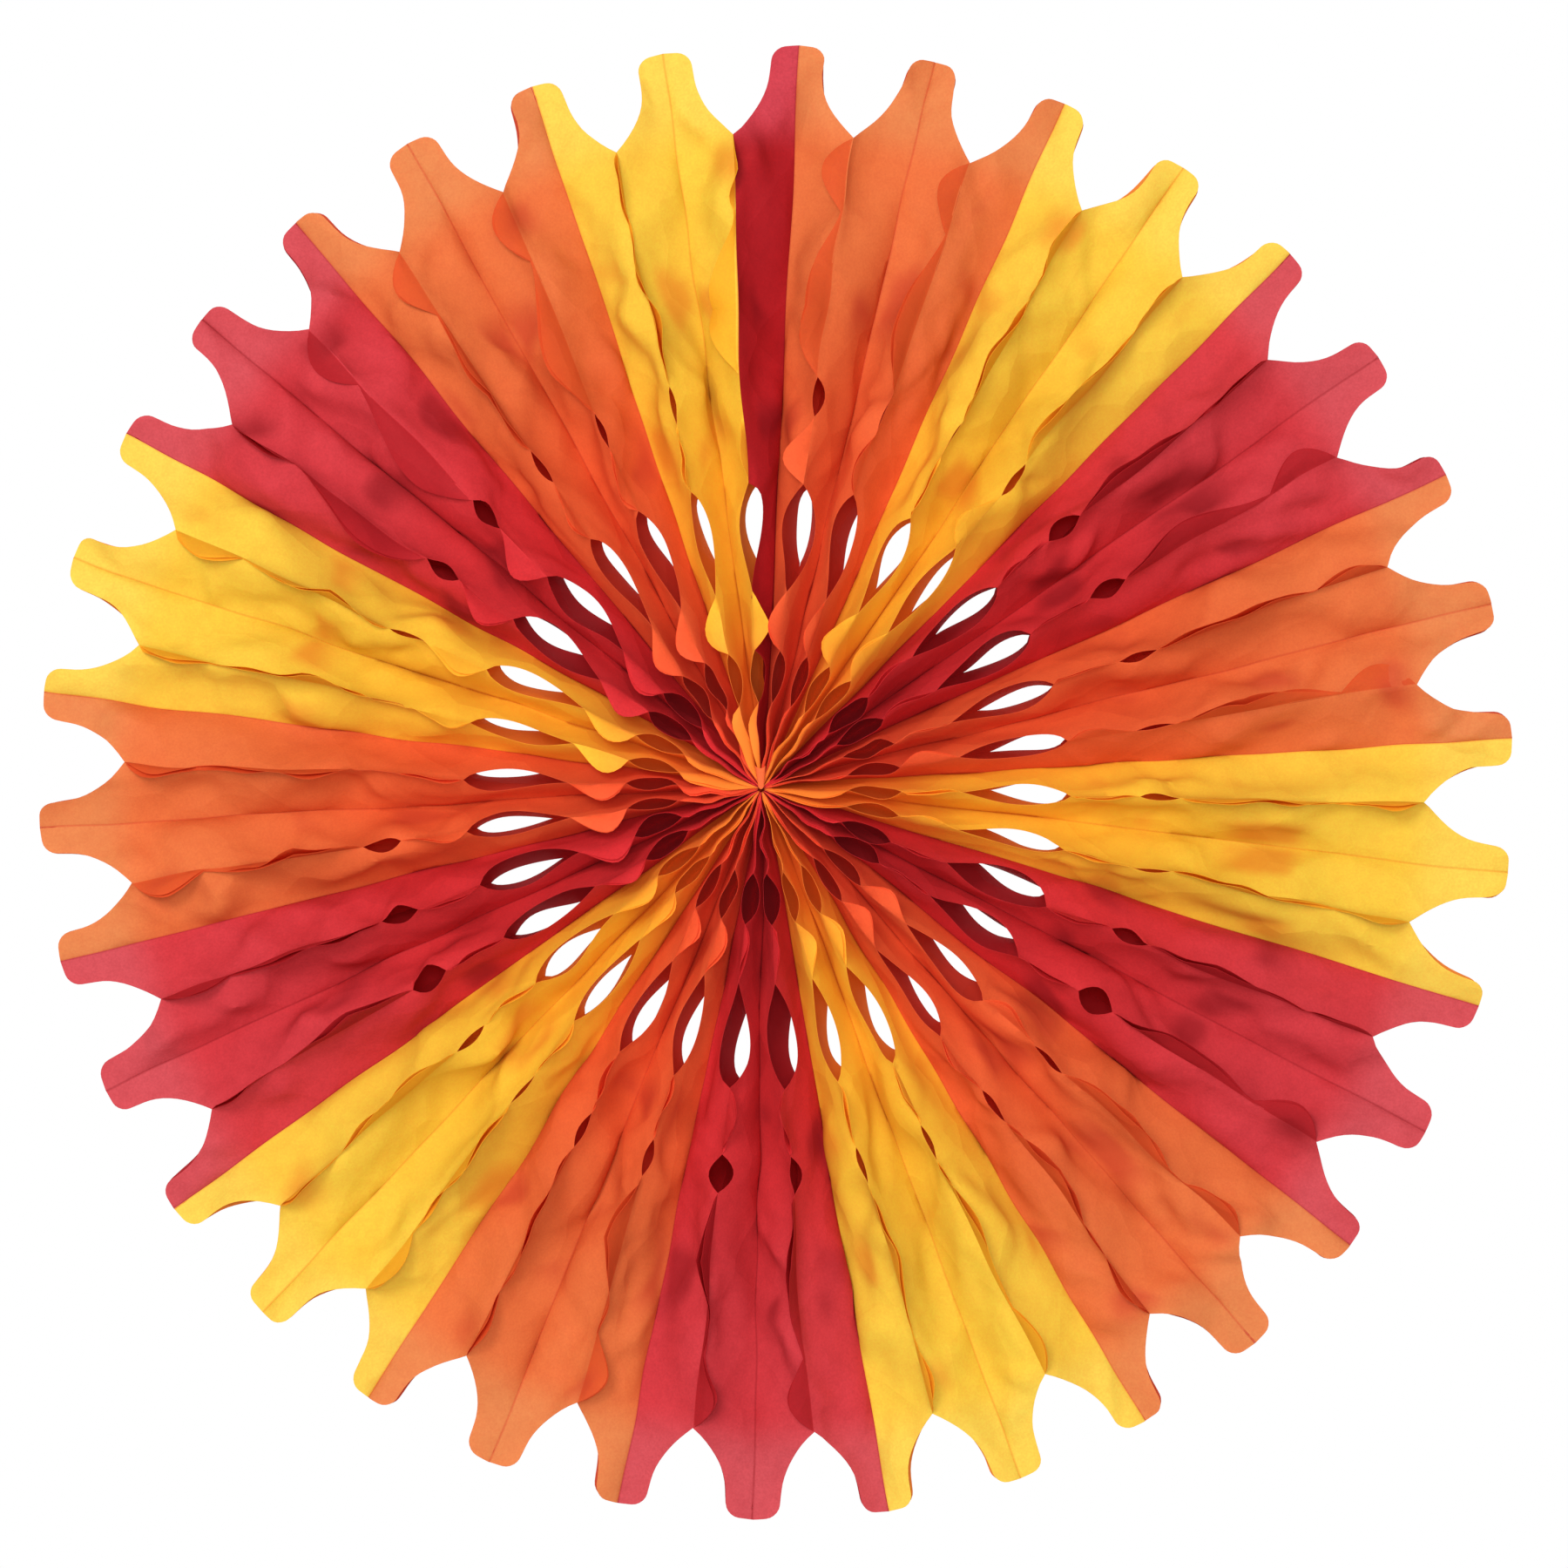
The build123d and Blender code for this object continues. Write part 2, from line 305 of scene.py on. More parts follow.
def drawn_in(station, across):
    """Stations of a row's points inside the inner hole, drawn in so that the sheet's inner end
    comes close to the axis in front and behind and dips round the thread at the crease."""
    end = HUB_END + (CREASE_HUB_END - HUB_END) * np.exp(-((across / HUB_DIP_WIDTH) ** 2))
    start = INNER_HOLE[1]
    inside = end + (station - HUB_END) * (start - end) / (start - HUB_END)
    return np.where(station < start, inside, station)


def sheet_grid(cell, side, colour, tucked):
    """The middle surface of one sheet, as rows from tip to hub and columns from the edge of the
    front flap over the crease to the edge of the back flap.

    In its cell, whose ridges stand at azimuth 0, a point at station s and v of the way from the
    crease to the glue line lies side * (s sin(half pitch))(1 - v) beside the middle and
    v * sqrt(w^2 - (s sin(half pitch))^2) in front or behind, where w is the distance from the
    crease to the glue line. A flap goes on from the ridge as an arc that leans to the left.
    Then the crease and ridge lines wander, the edges of the holes bow apart, and bows and folds
    lift the facets along their normals. A facet that sinks in stops short of the one behind it,
    as room * (exp(lift / room) - 1). Last, the cell turns to its azimuth and the whole fan
    slides a little towards its shifted hub.
    """
    row = row_stations()[:, None]
    steps = np.linspace(0, 1, FACET_COLUMNS + 1)
    flap_steps = np.linspace(0, 1, FLAP_COLUMNS + 1)[1:]
    width = CREASE_TO_GLUE_LINE
    halves = []
    for face in (-1, 1):
        holes = hole_depth(row, cell, colour, face)
        edge = edge_distance(row, holes, WIDER_HUB_FLAP.get(cell, 1.0) * HUB_FLAP_REACH)
        on_facet = np.minimum(edge, width) * steps
        beyond = np.maximum(edge - width, 0) * flap_steps
        share = on_facet / width
        station = drawn_in(row, on_facet)
        half_room = station * np.sin(HALF_PITCH)
        spread = np.minimum((half_room - GAP_BESIDE_GLUE) / width, FLATTEST_FACET)

        skew = -RIDGE_SKEW * np.cos(ridge_azimuth(cell)) * np.sin(np.pi * station / TIP_RADIUS)
        crease_number = cell if side > 0 else (cell - 1) % TOOTH_COUNT
        crease_wander = jog(CREASE_SEED + crease_number, station, CREASE_JOG)
        ridge_seed = RIDGE_SEED + 2 * cell + (face > 0)
        ridge_wander = jog(ridge_seed, station, RIDGE_JOG) - face * skew
        near_hub = np.clip(station / HUB_JOG_RISE, 0, 1)
        near_hub = near_hub * np.clip((HUB_JOG_END - station) / HUB_JOG_FALL, 0, 1)
        hub_wander = HUB_JOG * ripple(HUB_SEED + cell, station, 0.0, *HUB_WAVES) * near_hub
        inside_rim = np.clip((RIDGE_JOG_END - station) / RIDGE_JOG_FALL, 0, 1)
        ridge_wander = (ridge_wander + hub_wander) * inside_rim
        bow = HOLE_BOW * holes * share**2
        if face < 0:
            inner_hole = bulge(row, *INNER_HOLE, INNER_HOLE_PEAK)
            bow = bow + INNER_HOLE_BOW[colour] * inner_hole * share
        else:
            shift = HOLE_SHIFTS[cell] * BACK_HOLE_SHIFT[colour]
            ridge_wander = ridge_wander + shift * bulge(row, *BACK_SHIFT_ZONE, 0.5)

        sideways = side * (half_room - GAP_BESIDE_GLUE - on_facet * spread + bow)
        sideways = sideways + crease_wander * (1 - share) + ridge_wander * share
        depth = on_facet * np.sqrt(1 - spread**2)
        on_tooth = np.clip((station - FLANK_TOP) / (TIP_RADIUS - FLANK_TOP), 0, 1)
        dome = TIP_DOME * (on_facet / TOOTH_TIP_SIDE) ** 2 * on_tooth
        height = station * np.cos(HALF_PITCH) - dome

        seed = FACET_SEED + 4 * cell + (side > 0) + 2 * (face > 0)
        slow = ripple(seed, station, on_facet, *FACET_WAVES)
        folds = sharp_folds(seed + FOLD_SEED_STEP, station, on_facet)
        calm = np.sin(np.pi * share) ** 0.6 * np.clip(station / FULL_LIFT_STATION, 0, 1) ** 2
        lift = (BOW_HEIGHT * slow + FOLD_HEIGHT * folds) * calm
        room = SINKING_ROOM * depth + 1e-6
        lift = np.where(lift < 0, room * np.expm1(np.minimum(lift, 0) / room), lift)
        sideways = sideways + side * lift * np.sqrt(1 - spread**2)
        depth = depth + lift * spread

        reach = np.maximum(edge - width, 1e-9)
        turned = flap_lean(row, cell) * (FLAP_TURN[0] + (FLAP_TURN[1] - FLAP_TURN[0]) * flap_steps)
        if tucked:
            turned = np.full_like(turned, np.pi)
        curl = CURL_HEIGHT * ripple(seed + CURL_SEED_STEP, row, beyond, *CURL_WAVES)
        curl = curl * (beyond / reach)
        aside = curl + side * FLAP_OPENING * beyond
        flap_sideways = sideways[:, -1:] - beyond * np.sin(turned) + aside * np.cos(turned)
        flap_depth = depth[:, -1:] + beyond * np.cos(turned) + aside * np.sin(turned)
        sideways = np.hstack((sideways, flap_sideways))
        depth = np.hstack((depth, flap_depth))
        height = np.hstack((height, height[:, -1:] * np.ones_like(beyond)))
        across = np.hstack((on_facet, width + beyond))
        halves.append((sideways, face * depth, height, face * across))

    joined = [np.hstack((front[:, :0:-1], back)) for front, back in zip(*halves)]
    sideways, depth, height, across = joined
    azimuth = ridge_azimuth(cell)
    x = sideways * np.cos(azimuth) + height * np.sin(azimuth)
    z = height * np.cos(azimuth) - sideways * np.sin(azimuth)
    to_hub = np.clip(1 - np.hypot(x, z) / TIP_RADIUS, 0, 1)
    x = x + to_hub * (HUB_SHIFT[0] - FRONT_SHIFT[0] * depth)
    z = z + to_hub * (HUB_SHIFT[1] - FRONT_SHIFT[1] * depth)
    return np.stack((x, depth, z), axis=-1), across, row * np.ones_like(across)


def shell(points, merged):
    """A closed shell round a grid surface: two skins half the paper's thickness to each side
    along the vertex normals, and a strip round the border. merged gives for each grid point the
    point that stands for it, so that a flap of no width closes to its ridge."""
    rings = merged[:-1, :-1], merged[:-1, 1:], merged[1:, 1:], merged[1:, :-1]
    quads = np.stack([ring.ravel() for ring in rings], axis=1)
    triangles = np.concatenate((quads[:, [0, 1, 2]], quads[:, [0, 2, 3]]))
    ends = np.roll(triangles, -1, axis=1)
    triangles = triangles[(triangles != ends).all(axis=1)]
    used, triangles = np.unique(triangles, return_inverse=True)
    triangles = triangles.reshape(-1, 3)
    flat = points.reshape(-1, 3)[used]

    one, two, three = (flat[triangles[:, k]] for k in range(3))
    facing = np.cross(two - one, three - one)
    normals = np.zeros_like(flat)
    for k in range(3):
        np.add.at(normals, triangles[:, k], facing)
    normals /= np.linalg.norm(normals, axis=1, keepdims=True) + 1e-20
    outer = flat + normals * PAPER_THICKNESS / 2
    inner = flat - normals * PAPER_THICKNESS / 2

    count = len(flat)
    turns = [(triangles[:, k], triangles[:, (k + 1) % 3]) for k in range(3)]
    sides = np.concatenate([np.stack(turn, 1) for turn in turns])
    key = np.sort(sides, axis=1)
    _, index, times = np.unique(key, axis=0, return_index=True, return_counts=True)
    border = sides[index[times == 1]]
    start, end = border[:, 0], border[:, 1]
    strip = np.concatenate((
        np.stack((end, start, start + count), 1),
        np.stack((end, start + count, end + count), 1),
    ))
    faces = np.concatenate((triangles, triangles[:, ::-1] + count, strip))
    return np.concatenate((outer, inner)), faces, np.concatenate((used, used))


def merged_grid(across):
    """The grid's point numbers, with each flap point of no width replaced by its ridge point."""
    rows, columns = across.shape
    numbers = np.arange(rows * columns).reshape(rows, columns)
    middle = columns // 2
    for ridge, first, last in (
        (middle - FACET_COLUMNS, 0, middle - FACET_COLUMNS),
        (middle + FACET_COLUMNS, middle + FACET_COLUMNS + 1, columns),
    ):
        flap = slice(first, last)
        narrow = np.abs(across[:, flap]) < CREASE_TO_GLUE_LINE + 1e-6
        numbers[:, flap] = np.where(narrow, numbers[:, ridge:ridge + 1], numbers[:, flap])
    return numbers


def make_piece(name, points, faces, flat_place, material, nodes):
    """A mesh piece with its place on the flat sheet kept as an attribute for its paper."""
    mesh = bpy.data.meshes.new(name)
    mesh.from_pydata(points.tolist(), [], faces)
    place = mesh.attributes.new("flat_place", "FLOAT_VECTOR", "POINT")
    place.data.foreach_set("vector", flat_place.astype(np.float32).ravel())
    mesh.polygons.foreach_set("use_smooth", np.ones(len(mesh.polygons), dtype=bool))
    mesh.set_sharp_from_angle(angle=SHARP_ANGLE)
    mesh.materials.append(material)
    piece = bpy.data.objects.new(name, mesh)
    bpy.context.scene.collection.objects.link(piece)
    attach(piece, "root")
    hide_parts(*nodes)
    return piece


def make_sheet(cell, side, colour, node, paper, tucked=False):
    """One sheet of one cell: side -1 is the left one and 1 the right one. The skin that looks
    into the cell is marked on its facets, so that its paper can take painted shade there."""
    points, across, station = sheet_grid(cell, side, colour, tucked)
    corners, faces, used = shell(points, merged_grid(across))
    beyond = np.maximum(np.abs(across) - CREASE_TO_GLUE_LINE, 0)
    flat_place = np.stack((across, station, beyond), axis=-1).reshape(-1, 3)[used]

    azimuth = ridge_azimuth(cell)
    away = side * np.array((np.cos(azimuth), 0, -np.sin(azimuth)))
    skin = np.arange(len(corners)) < len(corners) // 2
    first_is_outside = (corners[skin] - corners[~skin]).mean(axis=0) @ away > 0
    inside = ~skin if first_is_outside else skin
    flat_place[inside & (flat_place[:, 2] == 0), 2] = CELL_SHADE_MARK
    word = "left" if side < 0 else "right"
    name = f"{colour}_sheet_{cell + 1:02d}_{word}"
    return make_piece(name, corners, faces.tolist(), flat_place, paper, [node])


# Materials

def new_group(name, inputs, outputs):
    group = bpy.data.node_groups.new(name, "ShaderNodeTree")
    for label, kind, value in inputs:
        socket = group.interface.new_socket(label, in_out="INPUT", socket_type=kind)
        socket.default_value = value
    for label, kind in outputs:
        group.interface.new_socket(label, in_out="OUTPUT", socket_type=kind)
    return group, group.nodes.new("NodeGroupInput"), group.nodes.new("NodeGroupOutput")


def math_node(tree, operation, first, second=None, third=None, clamp=False):
    node = tree.nodes.new("ShaderNodeMath")
    node.operation = operation
    node.use_clamp = clamp
    for socket, value in zip(node.inputs, (first, second, third)):
        if isinstance(value, bpy.types.NodeSocket):
            tree.links.new(value, socket)
        elif value is not None:
            socket.default_value = value
    return node.outputs[0]


def noise_node(tree, vector, scale, detail, roughness=0.5):
    node = tree.nodes.new("ShaderNodeTexNoise")
    node.inputs["Scale"].default_value = scale
    node.inputs["Detail"].default_value = detail
    node.inputs["Roughness"].default_value = roughness
    tree.links.new(vector, node.inputs["Vector"])
    return node.outputs["Fac"]


def range_node(tree, value, low, high, to_low=0.0, to_high=1.0, smooth=True):
    node = tree.nodes.new("ShaderNodeMapRange")
    node.interpolation_type = "SMOOTHSTEP" if smooth else "LINEAR"
    tree.links.new(value, node.inputs["Value"])
    labels = ("From Min", "From Max", "To Min", "To Max")
    for label, number in zip(labels, (low, high, to_low, to_high)):
        node.inputs[label].default_value = number
    return node.outputs["Result"]


def mix_node(tree, factor, first, second):
    node = tree.nodes.new("ShaderNodeMix")
    node.data_type = "RGBA"
    for label, value in (("Factor", factor), ("A", first), ("B", second)):
        socket = [s for s in node.inputs if s.name == label and s.enabled][0]
        if isinstance(value, bpy.types.NodeSocket):
            tree.links.new(value, socket)
        else:
            socket.default_value = value
    return [s for s in node.outputs if s.enabled][0]


def voronoi_node(tree, vector, scale):
    node = tree.nodes.new("ShaderNodeTexVoronoi")
    node.inputs["Scale"].default_value = scale
    tree.links.new(vector, node.inputs["Vector"])
    return node.outputs["Distance"]


def band_node(tree, value, low, high, soft):
    """1 between low and high, falling smoothly to 0 over a width of soft beyond them."""
    rising = range_node(tree, value, low - soft, low)
    falling = range_node(tree, value, high, high + soft, 1.0, 0.0)
    return math_node(tree, "MULTIPLY", rising, falling)


def make_tissue_marks():
    """Masks of one tissue sheet, in the order of its outputs: the cloudy fibre of the paper; a thin
    line of painted shade along the fold; the flaps, for their painted shade; the teeth, where
    nothing lies behind, for painted light let through; from the middle of the disc out to the rim,
    for painted light let through the outer half; the other way to the hub, for painted light
    bounced between the folds; the ring round the hub where light soaks through many layers, for a
    painted glow; the skin that looks into the cell, for painted shade; the painted soft shade and
    shadow of the gathered paper; and the lift of the small flat faces of crumpled paper."""
    labels = (
        "Grain", "Fold Shade", "Flap Shade", "Tip Light", "Outward Light", "Hub Bounce Light", "Soaked", "Inside", "Patch Shade", "Height",
    )
    group, given, given_out = new_group(
        "tissue_marks",
        [("Place", "NodeSocketVector", (0, 0, 0)), ("Flat", "NodeSocketVector", (0, 0, 0))],
        [(label, "NodeSocketFloat") for label in labels],
    )
    place, flat = given.outputs["Place"], given.outputs["Flat"]
    split = group.nodes.new("ShaderNodeSeparateXYZ")
    group.links.new(flat, split.inputs[0])
    across = math_node(group, "ABSOLUTE", split.outputs[0])
    station = split.outputs[1]

    fibre = noise_node(group, place, 1000.0, 1.0, 0.6)
    cloud = noise_node(group, place, 170.0, 2.0, 0.6)
    grain = math_node(group, "MULTIPLY_ADD", fibre, 0.6, math_node(group, "MULTIPLY", cloud, 0.4))
    # Painted shade: a thin dark line in the valley of the fold.
    crease = range_node(group, across, 0.0001, 0.0008, 1.0, 0.0)
    # Painted shade on the two-layer flaps, which let less light through, weaker towards the hub.
    flap_shade = range_node(group, split.outputs[2], 0.0001, 0.0008)
    flap_shade = math_node(group, "MULTIPLY", flap_shade, range_node(group, station, 0.13, 0.20, 0.2, 1.0))
    # Painted light: the teeth and the outer half lighter for the light let through, the folds near the
    # hub in the colour of light bounced between them.
    tooth = range_node(group, station, 0.270, 0.292)
    outer = range_node(group, station, 0.14, 0.25)
    deep = range_node(group, station, 0.030, 0.090, 1.0, 0.0)
    # Painted glow of light soaked through many layers, near the hub.
    soaked = range_node(group, station, 0.010, 0.048, 0.5, 1.0)
    soaked = math_node(group, "MULTIPLY", soaked, range_node(group, station, 0.110, 0.190, 1.0, 0.0))
    # Painted shade on the skin that looks into the cell.
    inside = range_node(group, split.outputs[2], CELL_SHADE_MARK, 0.0, 1.0, 0.0)
    # Painted shade in soft patches beside the creases, and a painted shadow beside the ridge near the
    # rim.
    patches = range_node(group, noise_node(group, place, 30.0, 0.0), 0.50, 0.66)
    outer_zone = band_node(group, station, 0.208, 0.222, 0.018)
    inner_zone = band_node(group, station, 0.146, 0.156, 0.014)
    beside_crease = math_node(group, "ADD", outer_zone, inner_zone, clamp=True)
    strip = band_node(group, across, 0.005, 0.014, 0.007)
    beside_crease = math_node(group, "MULTIPLY", beside_crease, strip)
    rim_zone = band_node(group, station, 0.267, 0.269, 0.014)
    rim_zone = math_node(group, "MULTIPLY", rim_zone, band_node(group, across, 0.024, 0.027, 0.013))
    zones = math_node(group, "ADD", beside_crease, rim_zone, clamp=True)
    patch_shade = math_node(group, "MULTIPLY", patches, zones)
    height = voronoi_node(group, place, 42.0)
    values = (grain, crease, flap_shade, tooth, outer, deep, soaked, inside, patch_shade, height)
    for label, value in zip(labels, values):
        group.links.new(value, given_out.inputs[label])
    return group


def make_tissue(name, tooth, light, middle, deep, flap, inside, shade, soaked):
    """Tissue paper, with light and shade painted into its colour: lightest on the teeth, then its
    light colour on the outer half and a stronger one where many layers lie behind it, all painted
    for the light let through, its deep colour in the folds near the hub, painted light bounced
    between them, a darker one as painted shade on the two-layer flaps and on the skin inside the
    cells, its shade painted in the creases and in soft patches, which also colours the darker
    fibres of its grain; part of the light let through, and a painted glow of light soaked through
    many layers."""
    material = bpy.data.materials.new(name)
    material.use_nodes = True
    tree = material.node_tree
    shader = tree.nodes["Principled BSDF"]
    marks = tree.nodes.new("ShaderNodeGroup")
    marks.node_tree = tissue_marks
    coordinates = tree.nodes.new("ShaderNodeTexCoord")
    flat = tree.nodes.new("ShaderNodeAttribute")
    flat.attribute_name = "flat_place"
    tree.links.new(coordinates.outputs["Object"], marks.inputs["Place"])
    tree.links.new(flat.outputs["Vector"], marks.inputs["Flat"])

    # Painted light: lighter outwards and on the teeth, the hub folds in the colour of bounced light.
    colour = mix_node(tree, marks.outputs["Outward Light"], middle, light)
    colour = mix_node(tree, marks.outputs["Tip Light"], colour, tooth)
    colour = mix_node(tree, marks.outputs["Hub Bounce Light"], colour, deep)
    # Painted shade on the flaps and inside the cells, in soft patches and along the creases.
    colour = mix_node(tree, math_node(tree, "MULTIPLY", marks.outputs["Flap Shade"], 0.85), colour, flap)
    colour = mix_node(tree, math_node(tree, "MULTIPLY", marks.outputs["Inside"], 0.75), colour, inside)
    colour = mix_node(tree, math_node(tree, "MULTIPLY", marks.outputs["Patch Shade"], 0.60), colour, shade)
    colour = mix_node(tree, math_node(tree, "MULTIPLY", marks.outputs["Fold Shade"], 0.40), colour, shade)
    # The grain is the paper's own fibre; its darker fibres take the shade colour too.
    grain = range_node(tree, marks.outputs["Grain"], 0.35, 0.65, 0.0, 0.22, smooth=False)
    colour = mix_node(tree, grain, colour, shade)
    tree.links.new(colour, shader.inputs["Base Color"])
    shader.inputs["Roughness"].default_value = 0.7
    shader.inputs["Specular IOR Level"].default_value = 0.12
    # Painted glow near the hub, given as emission.
    glow = mix_node(tree, marks.outputs["Soaked"], (0.0, 0.0, 0.0, 1.0), soaked)
    tree.links.new(glow, shader.inputs["Emission Color"])
    shader.inputs["Emission Strength"].default_value = 0.45
    material.cycles.emission_sampling = "NONE"

    bump = tree.nodes.new("ShaderNodeBump")
    bump.inputs["Strength"].default_value = 0.4
    bump.inputs["Distance"].default_value = 0.006
    tree.links.new(marks.outputs["Height"], bump.inputs["Height"])
    tree.links.new(bump.outputs["Normal"], shader.inputs["Normal"])

    through = tree.nodes.new("ShaderNodeBsdfTranslucent")
    tree.links.new(mix_node(tree, 0.5, colour, deep), through.inputs["Color"])
    mixed = tree.nodes.new("ShaderNodeMixShader")
    mixed.inputs["Fac"].default_value = 0.35
    tree.links.new(shader.outputs[0], mixed.inputs[1])
    tree.links.new(through.outputs[0], mixed.inputs[2])
    tree.links.new(mixed.outputs[0], tree.nodes["Material Output"].inputs["Surface"])
    return material


def make_thread_material():
    """Spun thread: fine dark and light plies across its own turns."""
    material = bpy.data.materials.new("spun_thread")
    material.use_nodes = True
    tree = material.node_tree
    shader = tree.nodes["Principled BSDF"]
    coordinates = tree.nodes.new("ShaderNodeTexCoord")
    plies = noise_node(tree, coordinates.outputs["Object"], 2600.0, 2.0, 0.5)
    colour = mix_node(tree, plies, linear(205, 84, 44), linear(240, 140, 80))
    tree.links.new(colour, shader.inputs["Base Color"])
    shader.inputs["Roughness"].default_value = 0.8
    return material


def make_binding_thread():
    """The thread wound tight at the hub, as one closed turned form.

    Its profile runs from the front pole to the back pole as an ellipse, with a ripple of
    |sin| shape for the turns of thread that lie beside each other.
    """
    low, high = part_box("binding_thread")
    turns, rounds, steps = 7, 48, 84
    ripple_height = 0.00016
    reach, half_width = (high.x - low.x) / 2, (high.y - low.y) / 2
    way = np.linspace(0, np.pi, steps)[1:-1, None]
    around = np.linspace(0, 2 * np.pi, rounds, endpoint=False)[None, :]
    swell = ripple_height * np.abs(np.sin(turns * way + around / 2)) * np.sin(way)
    radius = (reach - ripple_height) * np.sin(way) + swell
    y = -half_width * np.cos(way) * np.ones_like(around)
    grid = np.stack((radius * np.cos(around), y, radius * np.sin(around)), axis=-1)
    poles = np.array(((0, -half_width, 0), (0, half_width, 0)))
    points = np.concatenate((grid.reshape(-1, 3), poles)) + np.array((HUB_SHIFT[0], 0, HUB_SHIFT[1]))

    numbers = np.arange(grid.shape[0] * rounds).reshape(-1, rounds)
    beside = np.roll(numbers, -1, axis=1)
    quads = np.stack((numbers[:-1], beside[:-1], beside[1:], numbers[1:]), axis=-1).reshape(-1, 4)
    front, back = len(points) - 2, len(points) - 1
    caps = [(front, beside[0, k], numbers[0, k]) for k in range(rounds)]
    caps += [(back, numbers[-1, k], beside[-1, k]) for k in range(rounds)]
    faces = quads[:, ::-1].tolist() + caps
    nowhere = np.zeros_like(points)
    node = "binding_thread"
    return make_piece("hub_thread", points, faces, nowhere, thread_material, [node])


def make_hub_tab(paper):
    """The end of the first orange sheet, rolled over the hub as half a tube that narrows
    downwards: x = radius sin(angle), y = -flatness radius cos(angle), z along the tube, with
    ends that bow as -cos(2 angle)."""
    rounds, steps = 13, 7
    angle = np.linspace(-np.pi / 2, np.pi / 2, rounds)[None, :]
    way = np.linspace(0, 1, steps)[:, None]
    radius = TAB_RADII[0] + (TAB_RADII[1] - TAB_RADII[0]) * way
    x = radius * np.sin(angle) - TAB_SLANT * way
    y = -TAB_FLATNESS * radius * np.cos(angle)
    z = (way - 0.5) * TAB_LENGTH - TAB_END_BOW * np.cos(2 * angle)
    points = np.stack((x, y, z), axis=-1) + np.array(TAB_PLACE)
    corners, faces, used = shell(points, np.arange(rounds * steps).reshape(steps, rounds))
    flat_place = np.tile(TAB_FLAT_PLACE, (len(used), 1))
    node = "orange_cell_01"
    return make_piece("hub_tab", corners, faces.tolist(), flat_place, paper, [node])


# Camera, light and surroundings

def make_camera(distance, frame_width, centre):
    camera_data = bpy.data.cameras.new("camera")
    camera_data.sensor_width = 36.0
    camera_data.lens = camera_data.sensor_width * distance / frame_width
    camera = bpy.data.objects.new("camera", camera_data)
    camera.location = (centre[0], -distance, centre[1])
    camera.rotation_euler = (np.pi / 2, 0, 0)
    bpy.context.scene.collection.objects.link(camera)
    bpy.context.scene.camera = camera


def make_lamp(name, place, size, power):
    """A soft white square lamp that faces the middle of the disc."""
    lamp_data = bpy.data.lights.new(name, "AREA")
    lamp_data.size = size
    lamp_data.energy = power
    lamp = bpy.data.objects.new(name, lamp_data)
    lamp.location = place
    lamp.rotation_euler = (-lamp.location).to_track_quat("-Z", "Y").to_euler()
    bpy.context.scene.collection.objects.link(lamp)


def make_world(ambient):
    """White where the camera sees it, a plain even light everywhere else."""
    world = bpy.data.worlds.new("studio")
    bpy.context.scene.world = world
    world.use_nodes = True
    tree = world.node_tree
    plain = tree.nodes["Background"]
    plain.inputs["Color"].default_value = (1.0, 1.0, 1.0, 1.0)
    plain.inputs["Strength"].default_value = ambient
    white = tree.nodes.new("ShaderNodeBackground")
    white.inputs["Color"].default_value = (1.0, 1.0, 1.0, 1.0)
    path = tree.nodes.new("ShaderNodeLightPath")
    seen = math_node(tree, "MAXIMUM", path.outputs["Is Camera Ray"], path.outputs["Is Glossy Ray"])
    seen = math_node(tree, "MAXIMUM", seen, path.outputs["Is Transmission Ray"])
    mixed = tree.nodes.new("ShaderNodeMixShader")
    tree.links.new(seen, mixed.inputs["Fac"])
    tree.links.new(plain.outputs[0], mixed.inputs[1])
    tree.links.new(white.outputs[0], mixed.inputs[2])
    tree.links.new(mixed.outputs[0], tree.nodes["World Output"].inputs["Surface"])


def make_floor(height, half_width):
    """A plain pale floor under the hanging disc, out of the camera's view."""
    mesh = bpy.data.meshes.new("floor")
    corners = [(x, y, height) for x, y in ((-1, -1), (1, -1), (1, 1), (-1, 1))]
    corners = [(x * half_width, y * half_width, z) for x, y, z in corners]
    mesh.from_pydata(corners, [], [(0, 1, 2, 3)])
    material = bpy.data.materials.new("floor_paint")
    material.use_nodes = True
    shader = material.node_tree.nodes["Principled BSDF"]
    shader.inputs["Base Color"].default_value = (0.8, 0.8, 0.8, 1.0)
    shader.inputs["Roughness"].default_value = 0.8
    mesh.materials.append(material)
    floor = bpy.data.objects.new("floor", mesh)
    bpy.context.scene.collection.objects.link(floor)


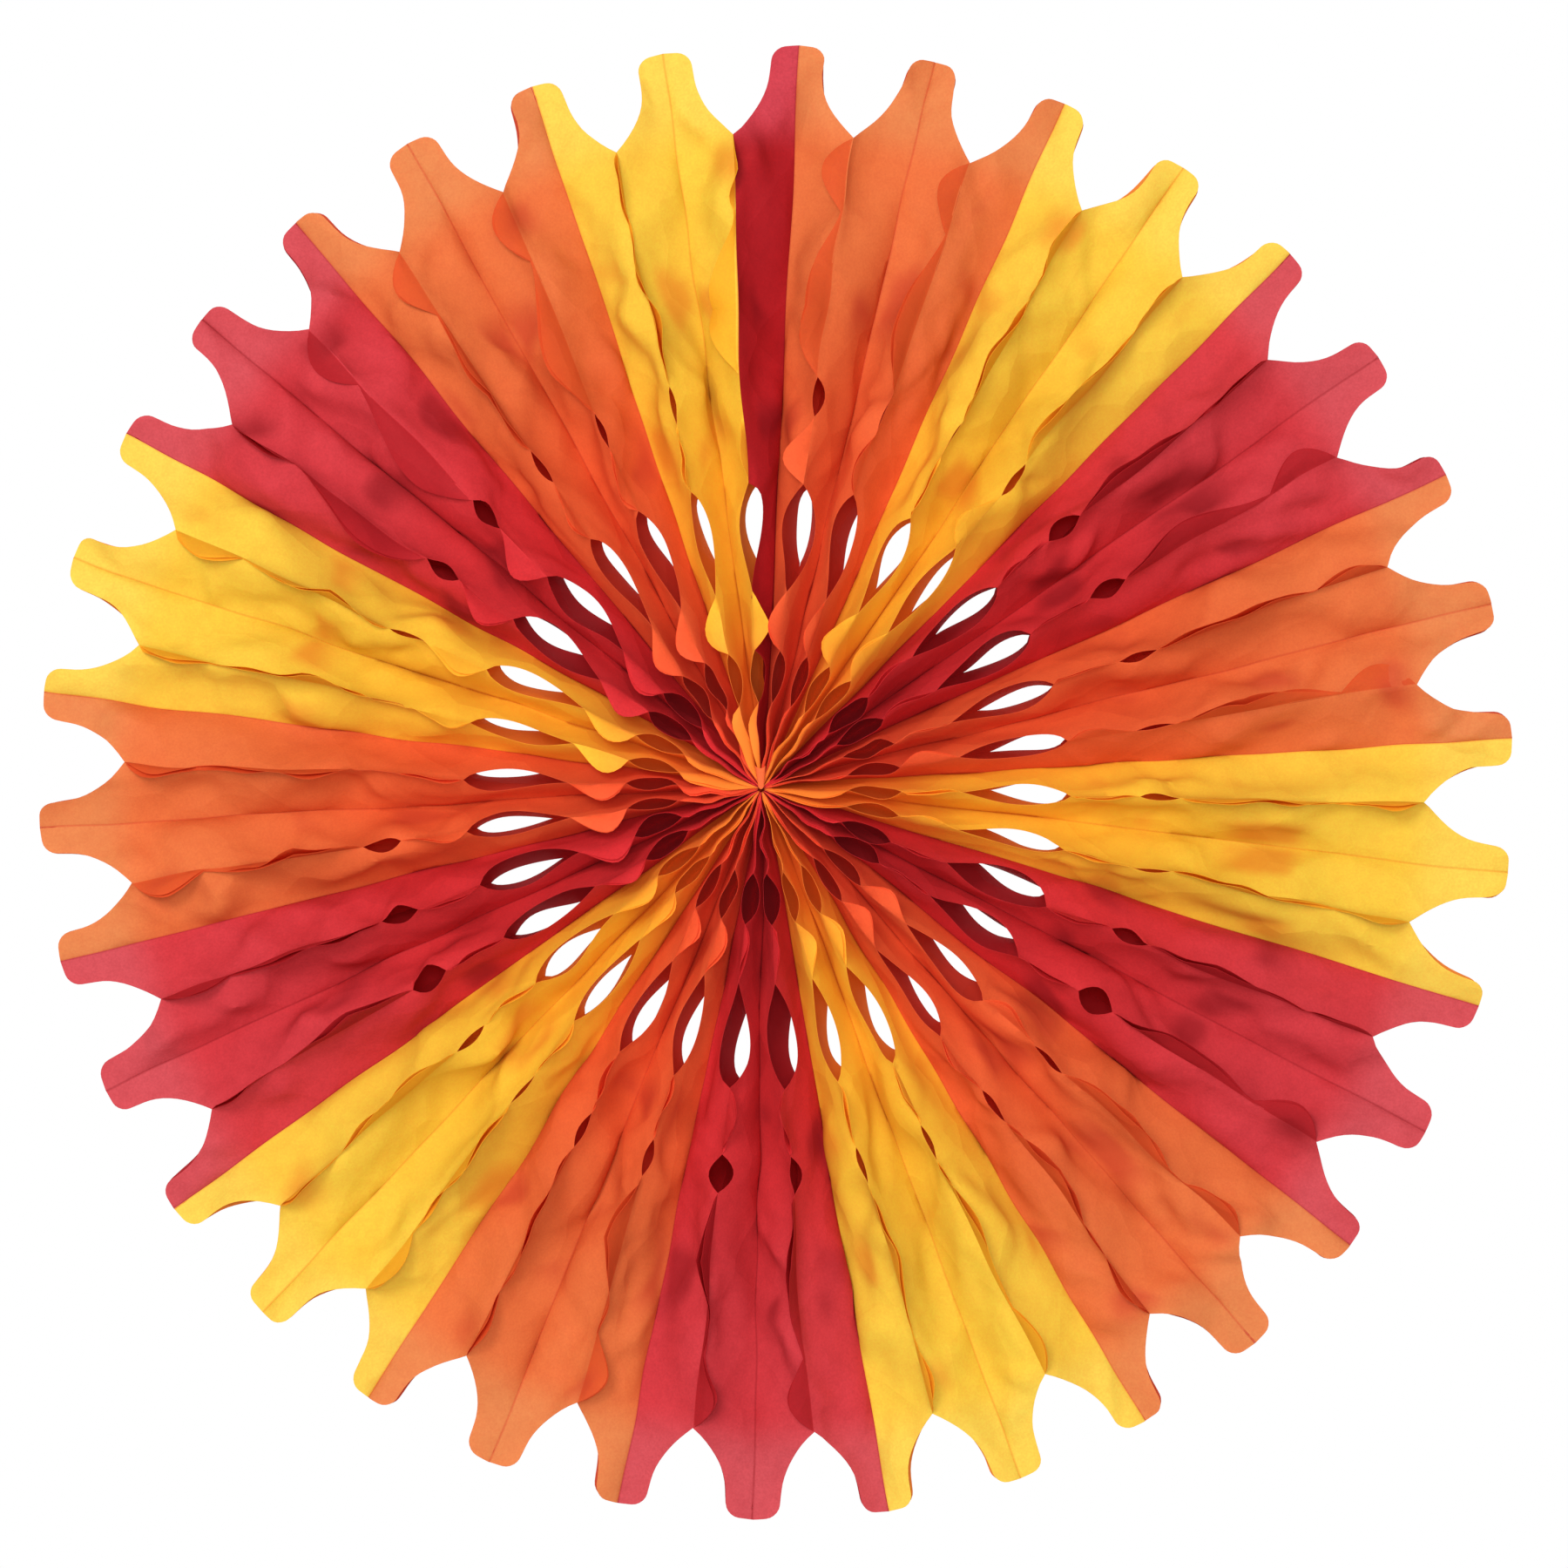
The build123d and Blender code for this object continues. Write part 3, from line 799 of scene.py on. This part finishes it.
make_camera(distance=2.4, frame_width=0.675, centre=(0.00347, -0.00062))
tissue_marks = make_tissue_marks()
# Colours of each paper: tooth, light, middle and deep are painted light let through or bounced between
# the sheets, flap and inside painted shade, shade the painted shade of creases and patches and the
# darker fibres of the grain, soaked a painted glow.
tissue = {
    "yellow": make_tissue(
        "yellow_paper",
        tooth=linear(250, 232, 92),
        light=linear(252, 226, 76),
        middle=linear(255, 214, 62),
        deep=linear(255, 144, 60),
        flap=linear(248, 190, 40),
        inside=linear(214, 96, 52),
        shade=linear(236, 142, 44),
        soaked=linear(118, 70, 24),
    ),
    "orange": make_tissue(
        "orange_paper",
        tooth=linear(238, 150, 88),
        light=linear(244, 132, 72),
        middle=linear(250, 112, 60),
        deep=linear(255, 96, 60),
        flap=linear(226, 92, 42),
        inside=linear(176, 34, 40),
        shade=linear(206, 68, 46),
        soaked=linear(92, 32, 24),
    ),
    "red": make_tissue(
        "red_paper",
        tooth=linear(226, 90, 98),
        light=linear(228, 68, 76),
        middle=linear(232, 56, 60),
        deep=linear(240, 56, 60),
        flap=linear(184, 30, 38),
        inside=linear(150, 24, 30),
        shade=linear(150, 24, 32),
        soaked=linear(74, 20, 24),
    ),
}
# The red paper again, painted darker below its tooth, as painted shade on the closing sheet tucked
# behind the seam.
shaded_end_paper = make_tissue(
    "red_shaded_end_paper",
    tooth=linear(226, 76, 90),
    light=linear(194, 34, 42),
    middle=linear(204, 36, 42),
    deep=linear(214, 42, 46),
    flap=linear(184, 30, 38),
    inside=linear(150, 24, 30),
    shade=linear(130, 18, 26),
    soaked=linear(56, 14, 18),
)
thread_material = make_thread_material()

seam = TOOTH_COUNT - 1
for cell in range(seam):
    colour = cell_colour(cell)
    for side in (-1, 1):
        make_sheet(cell, side, colour, f"{colour}_cell_{cell + 1:02d}", tissue[colour])
last_colour = cell_colour(seam)
make_sheet(seam, -1, last_colour, f"{last_colour}_end_sheet", tissue[last_colour])
make_sheet(seam, 1, CLOSING_COLOUR, f"{CLOSING_COLOUR}_end_sheet", shaded_end_paper, tucked=True)
make_hub_tab(tissue["orange"])
make_binding_thread()

make_world(ambient=0.6)
make_lamp("key", (-0.65, -2.75, 0.75), 0.7, 43.0)
make_lamp("front", (0.0, -2.9, 0.2), 0.4, 27.0)
make_floor(height=-0.75, half_width=0.9)
bpy.context.scene.view_settings.view_transform = "Standard"
bpy.context.scene.cycles.max_bounces = 6
